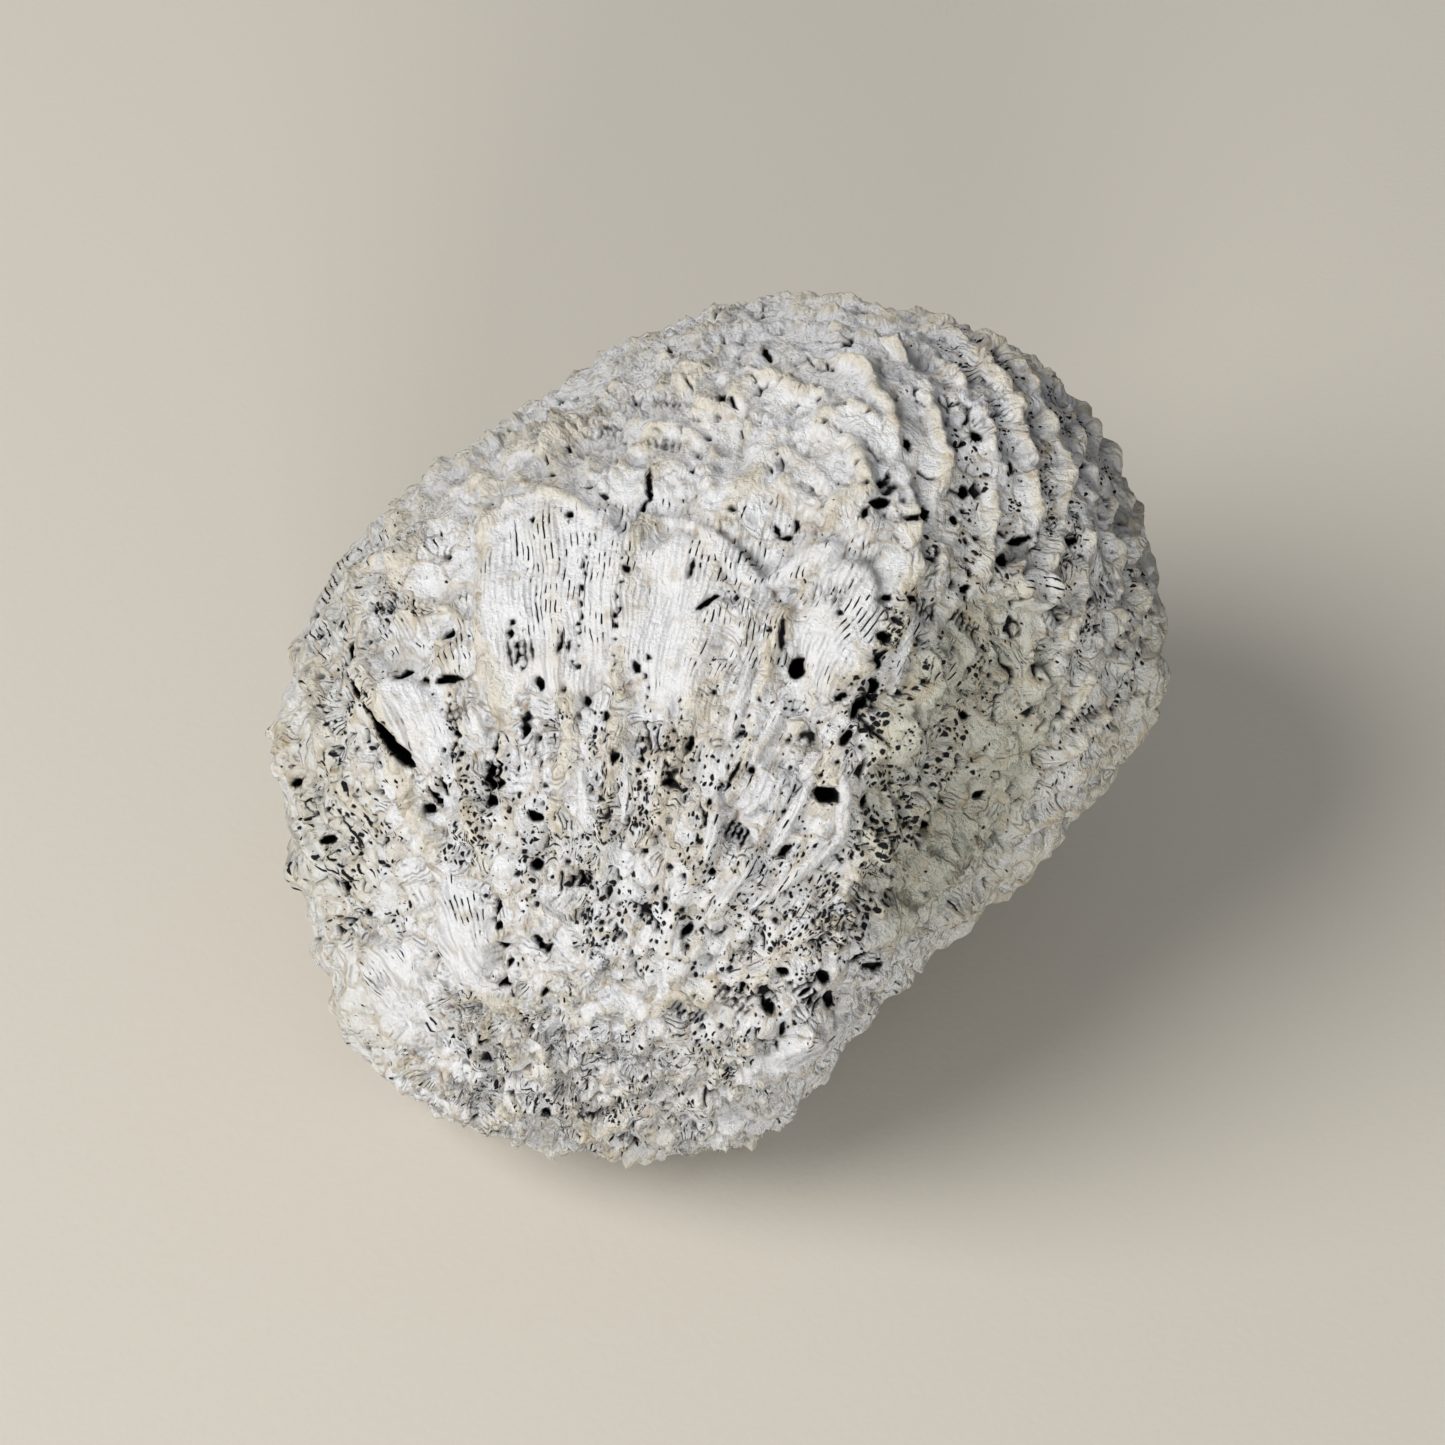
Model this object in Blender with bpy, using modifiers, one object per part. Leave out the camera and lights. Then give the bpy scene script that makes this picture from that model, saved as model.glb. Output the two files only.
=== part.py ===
"""Fossil brain coral: one bleached, worn lump of a coral head, lying on its flattened underside.

The stone is drawn in the frame of its worn face: x runs across the face, y up the face and z out of it, in
millimetres from the stone's middle. It is then leaned back to lie on the ground, and the object is in metres.
"""

import math

import bmesh
import bpy
import numpy as np
from mathutils import Matrix, Vector, noise

MM = 0.001

# How the stone lies
FACE_LEAN = math.radians(40.0)  # the worn face leans back this far from lying flat
MIDDLE_PLACE = (0.85, -0.57, 42.5)  # of the stone's middle: right of, behind and above the object's origin
GROUND_CUT = 60.0  # thickness of the block that cuts the underside flat

# Outline of the stone seen square on to the worn face: its reach every 15 degrees, from the right, anticlockwise
REACH = (
    59.6, 62.8, 64.7, 65.7, 65.0, 60.6,
    58.4, 54.8, 51.9, 53.6, 57.4, 59.4,
    64.4, 62.8, 65.2, 71.2, 65.8, 62.6,
    59.2, 50.2, 42.8, 43.6, 44.2, 50.0,
)  # fmt: skip
CAGE_SWELL = 1.02  # subdivision draws the cage in by about this much

# Sections parallel to that outline, from the worn face to the back:
# depth, then the shift across and up, then the share of the outline's reach across and up
SECTIONS = (
    (45.0, 15.0, 6.0, 0.22, 0.32),
    (40.5, 12.5, 4.0, 0.45, 0.58),
    (33.0, 9.0, 3.0, 0.67, 0.78),
    (22.5, 5.0, 1.5, 0.85, 0.91),
    (11.0, 2.0, 0.0, 0.96, 0.98),
    (0.0, 0.0, 0.0, 1.00, 1.00),
    (-12.5, 0.0, 0.5, 0.98, 0.97),
    (-24.5, 0.0, 1.5, 0.89, 0.87),
    (-34.5, 1.0, 2.5, 0.73, 0.71),
    (-41.5, 2.0, 3.0, 0.50, 0.49),
    (-46.0, 2.0, 3.0, 0.25, 0.24),
)
FRONT_TIP = (16.0, 6.5, 46.5)
BACK_TIP = (2.0, 3.0, -47.0)

# Swells and hollows of the bare form: middle across and up, half width, half length, lean of the long side
# from upright in degrees (clockwise), height
SWELLS = (
    (19.0, 12.0, 6.5, 34.0, 0.0, 3.8),  # crest between the lit face and the shaded flank
    (12.0, -34.0, 7.0, 20.0, 28.0, 2.0),  # foot of the crest
    (33.0, 0.0, 11.5, 17.0, 20.0, -4.8),  # hollow flank
    (27.0, -27.0, 9.0, 16.0, 38.0, -2.0),  # lower flank
    (-34.0, -10.0, 14.0, 22.0, -10.0, 1.5),  # left cheek
    (-33.0, -3.0, 6.0, 8.0, 0.0, -2.2),  # rough pocket
)

# Plates that stand proud of the worn face, with a ledge round each: middle across and up, half width,
# half length, lean from upright in degrees (clockwise), height
PLATES = (
    (-20.8, 17.5, 11.0, 13.5, 0.0, 1.2),  # broad plate with an arched top
    (-6.0, 14.0, 6.3, 11.5, 8.0, 1.0),  # plate beside it
    (15.4, 13.0, 4.2, 8.5, 14.0, 1.0),  # plate on the crest
    (-33.6, -27.0, 3.6, 7.8, -6.0, 0.9),  # narrow plate low on the left
    (-43.0, -36.5, 5.5, 7.5, -22.0, 0.9),  # lowest plate
    (40.9, 17.8, 2.6, 2.6, 0.0, 2.0),  # smooth knob under the cavity
)

# Growth ridges of the dome: rings round this direction
DOME_AXIS = (-8.0, 24.0, 42.0)
RIDGE_STEP = 5.6  # degrees from ridge to ridge, about 6 mm
RIDGE_HEIGHT = 2.3
RING_START = (7.0, 19.0)  # degrees from the axis between which the ridges rise
MAZE_PITCH = 7.0  # wavelength of the winding ridges on the back
MAZE_WAVES = 12
MAZE_HEIGHT = 2.0
FACE_MIDDLE = (-17.0, -10.0)  # the worn face is bare of ridges round here
FACE_REACH = (47.0, 57.0)  # and the ridges rise between these distances

# Walls of the worn face fan out from its foot
FAN_FOOT = (-20.7, -62.0)
FAN_STEP = 7.0  # degrees from wall to wall
FAN_HEIGHT = 1.5
FAN_START = (6.0, 30.0)  # the walls rise between these distances from the foot

LUMP_SIZES = ((17.0, 1.3), (7.0, 0.75), (3.6, 0.35))  # size and height of the random lumps
KNOB_SIZE = 7.5
KNOB_HEIGHT = 1.6

# Holes in the worn face: across, up, radius across, radius along, lean from upright in degrees, depth
HOLES = (
    ("borehole", 9.8, 7.5, 1.3, 1.7, 0.0, 7.0),
    ("crest_hole", 13.5, -8.5, 1.8, 1.3, 0.0, 7.0),
    ("crest_groove", 18.2, 3.4, 0.9, 3.4, 32.0, 4.0),
    ("crack", -44.4, -0.1, 0.9, 7.2, -33.0, 8.0),
    ("ledge_slit", -35.9, 6.1, 0.7, 2.2, 88.0, 4.0),
    ("cheek_hole", -50.4, 10.2, 0.8, 1.4, 20.0, 4.0),
    ("pocket", -29.8, -5.2, 2.2, 3.0, -25.0, 4.5),
    ("small_hole", -23.1, 5.4, 0.8, 0.9, 0.0, 3.5),
    ("curved_slit", -9.3, 29.6, 0.6, 2.6, 14.0, 3.5),
    ("cavity", 38.6, 23.0, 2.6, 1.7, 70.0, 4.5),
    ("ridge_gap", 20.3, 28.2, 1.7, 0.9, 0.0, 4.0),
    ("low_hole", -24.1, -11.1, 1.0, 1.1, 0.0, 4.0),
)

SUBDIVISION = 4
KEPT_TRIANGLES = 8600
BONE_WHITE = (0.78, 0.76, 0.72, 1.0)


def clouds(points, size, offset=0.0):
    """Smooth noise from about -1 to 1 at each point, in lumps of the given size."""
    return np.array([noise.noise(Vector(p)) for p in points / size + offset])


def ramp(values, low, high):
    """0 below low, 1 above high and a smooth rise between."""
    share = np.clip((values - low) / (high - low), 0.0, 1.0)
    return share * share * (3.0 - 2.0 * share)


def make_cage():
    """A ball of 24 meridians and 11 rings, drawn out to the sections of the stone."""
    cage = bmesh.new()
    segments = len(REACH)
    bmesh.ops.create_uvsphere(cage, u_segments=segments, v_segments=len(SECTIONS) + 1, radius=1.0)
    for corner in cage.verts:
        if abs(corner.co.z) > 0.999:
            corner.co = Vector(FRONT_TIP if corner.co.z > 0 else BACK_TIP)
            continue
        turn = math.atan2(corner.co.y, corner.co.x) % math.tau
        reach = REACH[round(turn / math.tau * segments) % segments] * CAGE_SWELL
        ring = round(math.acos(corner.co.z) / math.pi * (len(SECTIONS) + 1)) - 1
        depth, across, up, wide, tall = SECTIONS[ring]
        corner.co = Vector(
            (across + reach * wide * math.cos(turn), up + reach * tall * math.sin(turn), depth * CAGE_SWELL)
        )
    mesh = bpy.data.meshes.new("cage")
    cage.to_mesh(mesh)
    cage.free()
    return mesh


def smooth_form():
    """The cage as a fine, smooth mesh."""
    guide = bpy.data.objects.new("form_guide", make_cage())
    bpy.context.scene.collection.objects.link(guide)
    subdivision = guide.modifiers.new("form", "SUBSURF")
    subdivision.levels = subdivision.render_levels = SUBDIVISION
    graph = bpy.context.evaluated_depsgraph_get()
    mesh = bpy.data.meshes.new_from_object(guide.evaluated_get(graph))
    bpy.data.objects.remove(guide)
    return mesh


def read_points(mesh):
    """The vertices and their normals as two arrays."""
    points = np.empty(len(mesh.vertices) * 3)
    normals = np.empty(len(mesh.vertices) * 3)
    mesh.vertices.foreach_get("co", points)
    mesh.vertices.foreach_get("normal", normals)
    return points.reshape(-1, 3), normals.reshape(-1, 3)


def write_points(mesh, points):
    mesh.vertices.foreach_set("co", points.ravel())
    mesh.update()


def away_from(points, across, up, wide, tall, lean):
    """Distance from a place on the worn face, where 1 is the rim of a leaning oval."""
    turn = math.radians(lean)
    x = points[:, 0] - across
    y = points[:, 1] - up
    side = (x * math.cos(turn) - y * math.sin(turn)) / wide
    along = (x * math.sin(turn) + y * math.cos(turn)) / tall
    return np.hypot(side, along)


def swell(points):
    """The broad swells and hollows of the half that the worn face looks out of."""
    height = np.zeros(len(points))
    for *oval, rise in SWELLS:
        height += rise * np.exp(-(away_from(points, *oval) ** 2))
    return height * ramp(points[:, 2], 0.0, 12.0)


def plates(points):
    """Height of the plates of the worn face, level on top with a steep edge."""
    height = np.zeros(len(points))
    for *oval, rise in PLATES:
        height = np.maximum(height, rise * (1.0 - ramp(away_from(points, *oval), 0.82, 1.12)))
    return height * ramp(points[:, 2], 0.0, 12.0)


def dome_share(points):
    """0 on the worn face, 1 on the ridged dome round it and on the back."""
    x = points[:, 0] - FACE_MIDDLE[0]
    y = points[:, 1] - FACE_MIDDLE[1]
    away = np.hypot(x, y) + 4.0 * clouds(points, 15.0, 3.0)
    behind = 1.0 - ramp(points[:, 2], -14.0, 2.0)
    return np.maximum(ramp(away, *FACE_REACH), behind)


def dome_ridges(points):
    """Long ridges in rings round the dome's axis, from 0 in a valley to 1 on a crest."""
    axis = Vector(DOME_AXIS).normalized()
    reach = np.linalg.norm(points, axis=1)
    away = np.degrees(np.arccos(np.clip(points @ np.array(axis) / reach, -1.0, 1.0)))
    turns = away / RIDGE_STEP + 0.32 * clouds(points, 16.0, 7.0) + 0.14 * clouds(points, 6.0, 9.0)
    return (0.5 + 0.5 * np.cos(math.tau * turns)) ** 1.5 * ramp(away, *RING_START)


def maze_ridges(points, normals):
    """Winding ridges of the back: waves of one length that cross in every direction."""
    seeded = np.random.default_rng(4)
    directions = seeded.normal(size=(MAZE_WAVES, 3))
    directions /= np.linalg.norm(directions, axis=1)[:, None]
    starts = seeded.uniform(0.0, math.tau, MAZE_WAVES)
    height = np.zeros(len(points))
    power = np.zeros(len(points))
    for direction, start in zip(directions, starts):
        lies_flat = (1.0 - (normals @ direction) ** 2) ** 2
        height += lies_flat * np.cos(math.tau / MAZE_PITCH * (points @ direction) + start)
        power += lies_flat**2 / 2.0
    return 1.0 / (1.0 + np.exp(-2.6 * height / np.sqrt(power)))


def face_walls(points):
    """Low walls that fan out over the worn face from its foot, from 0 to 1."""
    x = points[:, 0] - FAN_FOOT[0]
    y = points[:, 1] - FAN_FOOT[1]
    turns = np.degrees(np.arctan2(x, y)) / FAN_STEP + 0.5 * clouds(points, 13.0, 5.0)
    return (0.5 + 0.5 * np.cos(math.tau * turns)) ** 1.3 * ramp(np.hypot(x, y), *FAN_START)


def knobs(points):
    """Rounded knobs, 1 at the middle of each and 0 at the gaps between them."""
    nearest = np.array([noise.voronoi(Vector(p))[0][0] for p in points / KNOB_SIZE])
    return np.clip(1.0 - nearest * 1.25, 0.0, 1.0)


def relief(points, normals):
    """Height of the weathered surface over the smooth form, in millimetres."""
    dome = dome_share(points)
    behind = 1.0 - ramp(points[:, 2], -22.0, -2.0)
    ringed = RIDGE_HEIGHT * (dome_ridges(points) - 0.4)
    winding = MAZE_HEIGHT * (maze_ridges(points, normals) - 0.5)
    ridged = ringed * (1.0 - behind) + winding * behind
    plate = plates(points)
    face = FAN_HEIGHT * (face_walls(points) - 0.4) + KNOB_HEIGHT * (knobs(points) - 0.3) * (1.0 - 0.6 * dome)
    height = ridged * dome + face * (1.0 - 0.7 * dome) * (1.0 - 0.6 * np.minimum(plate, 1.0)) + plate
    for size, rise in LUMP_SIZES:
        height += rise * clouds(points, size, size)
    return height


def weathered_form():
    """The smooth form with its swells, ridges, walls and knobs."""
    mesh = smooth_form()
    points, normals = read_points(mesh)
    write_points(mesh, points + normals * swell(points)[:, None])
    points, normals = read_points(mesh)
    write_points(mesh, points + normals * relief(points, normals)[:, None])
    return mesh


def lying_down():
    """Turns the face frame, in millimetres, to the stone as it lies, in metres."""
    raise_up = Matrix.Translation(Vector(MIDDLE_PLACE) * MM)
    return raise_up @ Matrix.Rotation(FACE_LEAN, 4, "X") @ Matrix.Scale(MM, 4)


def add_cutter(name, mesh, collection):
    cutter = bpy.data.objects.new(name, mesh)
    cutter.hide_render = True
    cutter.display_type = "WIRE"
    collection.objects.link(cutter)
    return cutter


def hole_mesh(name, stone, across, up, wide, tall, lean, depth):
    """A pointed pit that goes straight into the worn face at one place."""
    hit, place, _, _ = stone.ray_cast(Vector((across, up, 200.0)), Vector((0.0, 0.0, -1.0)))
    if not hit:
        raise ValueError(f"{name} misses the stone")
    pit = bmesh.new()
    bmesh.ops.create_icosphere(pit, subdivisions=2, radius=1.0)
    stretch = Matrix.Diagonal((wide, tall, depth, 1.0))
    turn = Matrix.Rotation(-math.radians(lean), 4, "Z")
    bmesh.ops.transform(pit, matrix=Matrix.Translation(place) @ turn @ stretch, verts=pit.verts)
    mesh = bpy.data.meshes.new(name)
    pit.to_mesh(mesh)
    pit.free()
    return mesh


def ground_mesh():
    """The block under the stone whose top is the ground."""
    block = bmesh.new()
    bmesh.ops.create_cube(block, size=GROUND_CUT * 4.0 * MM)
    bmesh.ops.translate(block, vec=(0.0, 0.0, -GROUND_CUT * 2.0 * MM), verts=block.verts)
    mesh = bpy.data.meshes.new("ground_cutter")
    block.to_mesh(mesh)
    block.free()
    return mesh


def stone_material():
    material = bpy.data.materials.new("weathered_coral_limestone")
    material.use_nodes = True
    shader = material.node_tree.nodes["Principled BSDF"]
    shader.inputs["Base Color"].default_value = BONE_WHITE
    shader.inputs["Roughness"].default_value = 0.9
    shader.inputs["Metallic"].default_value = 0.0
    return material


def cut(stone, cutter):
    boolean = stone.modifiers.new(cutter.name, "BOOLEAN")
    boolean.operation = "DIFFERENCE"
    boolean.object = cutter


def clear_scene():
    for old in list(bpy.data.objects):
        bpy.data.objects.remove(old)


def main():
    clear_scene()
    coral = bpy.data.collections.new("brain_coral")
    cutters = bpy.data.collections.new("cutters")
    for collection in (coral, cutters):
        bpy.context.scene.collection.children.link(collection)

    stone = bpy.data.objects.new("brain_coral", weathered_form())
    stone.data.materials.append(stone_material())
    coral.objects.link(stone)
    holes = [add_cutter(hole[0], hole_mesh(hole[0], stone, *hole[1:]), cutters) for hole in HOLES]
    for part in (stone, *holes):
        part.data.transform(lying_down())

    fewer = stone.modifiers.new("fewer_triangles", "DECIMATE")
    fewer.ratio = KEPT_TRIANGLES / (2 * len(stone.data.polygons))
    for hole in holes:
        cut(stone, hole)
    cut(stone, add_cutter("ground_cutter", ground_mesh(), cutters))
    stone.data.shade_smooth()


main()
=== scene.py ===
import math

import bpy
import numpy as np
from mathutils import Matrix, Vector, noise


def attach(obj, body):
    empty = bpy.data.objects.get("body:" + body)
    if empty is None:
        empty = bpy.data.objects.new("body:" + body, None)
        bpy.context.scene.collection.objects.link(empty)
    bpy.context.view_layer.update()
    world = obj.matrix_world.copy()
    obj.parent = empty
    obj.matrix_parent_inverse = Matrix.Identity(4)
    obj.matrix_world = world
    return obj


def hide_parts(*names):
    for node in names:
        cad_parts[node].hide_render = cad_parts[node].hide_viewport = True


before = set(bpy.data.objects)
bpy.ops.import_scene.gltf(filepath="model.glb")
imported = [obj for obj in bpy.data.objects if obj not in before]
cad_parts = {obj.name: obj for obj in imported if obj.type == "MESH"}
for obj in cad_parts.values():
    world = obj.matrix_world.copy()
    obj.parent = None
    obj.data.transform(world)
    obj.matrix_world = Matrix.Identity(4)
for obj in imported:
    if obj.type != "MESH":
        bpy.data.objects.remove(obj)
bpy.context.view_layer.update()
bpy.ops.object.select_all(action="DESELECT")

# The stone is drawn in the frame of its worn face, in millimetres from the stone's middle: x across the face,
# y up it, z out of it. Then it is laid down on its underside and brought to metres.
lying = {
    "faceLean": math.radians(40.0),  # the worn face leans back this far from level
    "middle": (0.85, -0.57, 42.5),  # of the stone: right of, behind and above the object's origin
}
layDown = (
    Matrix.Translation(Vector(lying["middle"]) * 0.001)
    @ Matrix.Rotation(lying["faceLean"], 4, "X")
    @ Matrix.Scale(0.001, 4)
)

# Form of the bare stone

stoneForm = {
    # its reach every 15 degrees seen square on to the worn face, from the right, anticlockwise
    "reach": [
        59.6, 62.8, 64.7, 65.7, 65.0, 60.6,
        58.4, 54.8, 51.9, 53.6, 57.4, 59.4,
        64.4, 62.8, 65.2, 71.2, 65.8, 62.6,
        59.2, 50.2, 42.8, 43.6, 44.2, 50.0,
    ],
    "cageSwell": 1.02,  # subdivision draws the cage in by about this much
    # parallel to that outline, from the worn face to the back: depth, shift across and up, share of the reach
    "sections": [
        (45.0, 15.0, 6.0, 0.22, 0.32),
        (40.5, 12.5, 4.0, 0.45, 0.58),
        (33.0, 9.0, 3.0, 0.67, 0.78),
        (22.5, 5.0, 1.5, 0.85, 0.91),
        (11.0, 2.0, 0.0, 0.96, 0.98),
        (0.0, 0.0, 0.0, 1.00, 1.00),
        (-12.5, 0.0, 0.5, 0.98, 0.97),
        (-24.5, 0.0, 1.5, 0.89, 0.87),
        (-34.5, 1.0, 2.5, 0.73, 0.71),
        (-41.5, 2.0, 3.0, 0.50, 0.49),
        (-46.0, 2.0, 3.0, 0.25, 0.24),
    ],
    "frontTip": (16.0, 6.5, 46.5),
    "backTip": (2.0, 3.0, -47.0),
    # broad swells: across, up, half width, half length, lean from upright in degrees (clockwise), height
    "swells": [
        (19.0, 12.0, 6.5, 34.0, 0.0, 3.8),  # crest between the lit face and the shaded flank
        (12.0, -34.0, 7.0, 20.0, 28.0, 2.0),  # foot of the crest
        (33.0, 0.0, 11.5, 17.0, 20.0, -4.8),  # hollow flank
        (27.0, -27.0, 9.0, 16.0, 38.0, -2.0),  # lower flank
        (-34.0, -10.0, 14.0, 22.0, -10.0, 1.5),  # left cheek
        (-33.0, -3.0, 6.0, 8.0, 0.0, -2.2),  # rough pocket
        (20.6, 4.0, 2.4, 13.0, 12.0, -1.6),  # trough behind the crest
    ],
    "meshStep": 0.40,  # between the points that the relief is cut into
    "keptTriangles": 197000,
    "farThinning": 0.42,  # how much more of them are taken from the far side
}

# Growth: the ridges of the dome, the winding ridges of the back and the walls of the worn face
growth = {
    "domeAxis": (-8.0, 24.0, 42.0),  # the ridges ring round this direction
    "ridgeStep": 5.6,  # degrees from ridge to ridge, about 6 mm
    "ridgeHeight": 1.75,
    "ringStart": (7.0, 19.0),  # degrees from the axis between which the ridges rise
    "mazePitch": 7.0,
    "mazeWaves": 12,
    "mazeHeight": 2.6,
    "faceMiddle": (-17.0, -10.0),
    "faceReach": (47.0, 57.0),  # the worn face ends and the ridges begin between these distances
    "fanFoot": (-20.7, -62.0),  # the walls of the worn face fan out from here
    "fanStep": 7.0,  # degrees from wall to wall
    "fanHeight": 2.1,
    "fanStart": (30.0, 62.0),  # and stand full from here on
    "lumps": [(17.0, 1.3), (7.0, 0.75), (3.6, 0.35)],  # size and height of the random lumps
    "cupSize": 5.4,  # single corallites where the fan gives out
    "knobSize": 7.5,
    "knobHeight": 2.0,
    "septa": 0.85,  # from one fine radial plate of the skeleton to the next
    "fanLines": 6.0,  # distance from the foot at which the fine plates of the fan are counted
    "ringLines": 6.0,
    "flank": (31.0, -5.0, 13.0, 27.0, 18.0),  # where the ridges are worn off: an oval like those below
    "pieces": [(6.5, 0.9), (3.2, 0.54)],  # size and height of the pieces that the surface crumbles into
}

# Heights of the relief in millimetres
relief = {
    "domeCrumbs": (0.85, 0.5),  # coarse and fine
    "faceCrumbs": (0.75, 0.6),
    "teeth": 0.45,  # fine plates on the slopes of the ridges
    "ribs": 0.22,  # and on the worn face
    "halfWalls": 0.7,  # walls between those of the fan
    "cups": 1.25,  # shares of the heights in the lists and functions below
    "plates": 1.35,
    "arches": 1.5,
    "archWidth": 0.7,
    "pitDepth": 1.1,
    "pitStep": 1.25,  # from one column of pits to the next
}

# Plates and walls that stand proud of the worn face: across, up, half width, half length, lean, height
plateList = [
    (-20.8, 17.5, 11.0, 13.5, 0.0, 1.2),  # broad plate with an arched top
    (-6.0, 14.0, 6.3, 11.5, 8.0, 1.0),
    (15.4, 13.0, 4.2, 8.5, 14.0, 1.0),  # on the crest
    (-33.6, -27.0, 3.6, 7.8, -6.0, 0.9),
    (-43.0, -36.5, 5.5, 7.5, -22.0, 0.9),
    (40.9, 17.8, 2.6, 2.6, 0.0, 2.0),  # smooth knob under the cavity
    (-39.6, 0.4, 3.2, 6.8, -26.0, 1.0),  # ledge beside the crack
    (28.0, 6.0, 1.7, 6.5, 35.0, 1.2),
    (22.6, 10.0, 0.9, 6.5, 10.0, 1.0),
    (15.6, -10.5, 0.9, 4.6, 0.0, 1.0),  # thin walls beside and below the crest
    (11.8, -17.0, 0.8, 5.5, 50.0, 1.0),
    (9.0, -11.6, 0.8, 6.0, 28.0, 1.0),
    (5.6, -9.0, 0.7, 3.8, 48.0, 0.8),
    (-0.8, -12.9, 0.9, 4.6, 8.0, 1.0),
    (1.1, -21.2, 0.7, 5.5, 40.0, 0.9),
    (7.8, -20.4, 0.7, 6.0, 56.0, 0.9),
    (2.6, 4.0, 0.8, 6.5, 14.0, 0.8),
    (6.2, -0.5, 0.8, 5.0, 26.0, 0.8),
    (-12.2, -7.0, 0.8, 6.0, 2.0, 0.8),
    (-17.6, -9.6, 0.8, 4.0, -4.0, 0.8),
    (9.5, -43.0, 1.4, 9.0, 62.0, 0.9),  # rim ledge
    (1.6, 21.4, 1.5, 5.6, -48.0, 1.2),  # chalky ledge that sweeps up to the crest
    (10.8, 20.6, 1.6, 5.4, 62.0, 1.2),
]

# Rims of old cups, arched upward: across, up and radius, from and to in degrees from upright, height
archList = [
    (-23.0, 21.5, 8.6, -62.0, 58.0, 0.7),
    (-6.6, 32.4, 6.6, -70.0, 70.0, 0.9),
    (-6.0, 21.0, 5.4, -60.0, 50.0, 0.5),
    (6.0, 40.2, 5.6, -60.0, 65.0, 0.7),
    (-1.6, 43.4, 3.2, -70.0, 60.0, 0.6),
    (-9.4, 41.6, 3.4, -75.0, 60.0, 0.6),
    (-17.4, 36.6, 4.0, -75.0, 60.0, 0.6),
    (-25.6, 32.6, 3.8, -70.0, 65.0, 0.6),
    (-38.0, 10.5, 5.4, -60.0, 75.0, 0.7),
    (-31.6, -42.0, 6.0, -60.0, 60.0, 0.7),
    (4.4, -36.4, 4.6, -50.0, 80.0, 0.6),
    (-4.8, -38.4, 3.6, -80.0, 60.0, 0.6),
    (16.4, 36.6, 4.6, -60.0, 60.0, 0.6),
]

# Parts of the worn face riddled with pits: across, up, half width, half length, lean, strength
spongeList = [
    (-10.0, -19.0, 11.0, 14.0, 10.0, 0.85),
    (-28.0, -14.5, 9.0, 8.0, 0.0, 0.9),
    (-35.6, -3.0, 2.2, 8.5, -18.0, 0.9),
    (8.0, -24.0, 10.0, 9.0, 30.0, 1.0),
    (19.0, -18.0, 5.0, 13.0, 30.0, 1.15),
    (20.0, 6.0, 3.6, 11.0, 18.0, 1.2),
    (-25.0, 12.0, 3.6, 6.5, 0.0, 0.9),
    (-45.0, 17.5, 3.5, 5.0, -30.0, 0.7),
    (-50.0, -10.0, 9.0, 20.0, 0.0, 0.75),
    (27.0, 0.0, 8.0, 15.0, 25.0, 0.95),
    (-4.0, -3.0, 8.0, 9.0, 12.0, 0.6),
    (11.0, -5.0, 3.5, 8.0, 25.0, 0.7),
    (-20.0, 0.0, 7.0, 5.0, 0.0, 0.6),
    (4.0, -37.0, 11.0, 7.0, 60.0, 0.8),
    (-15.0, -46.0, 24.0, 10.0, 0.0, 0.75),
    (-36.0, -40.0, 6.0, 6.0, 0.0, 0.6),
]

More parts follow.
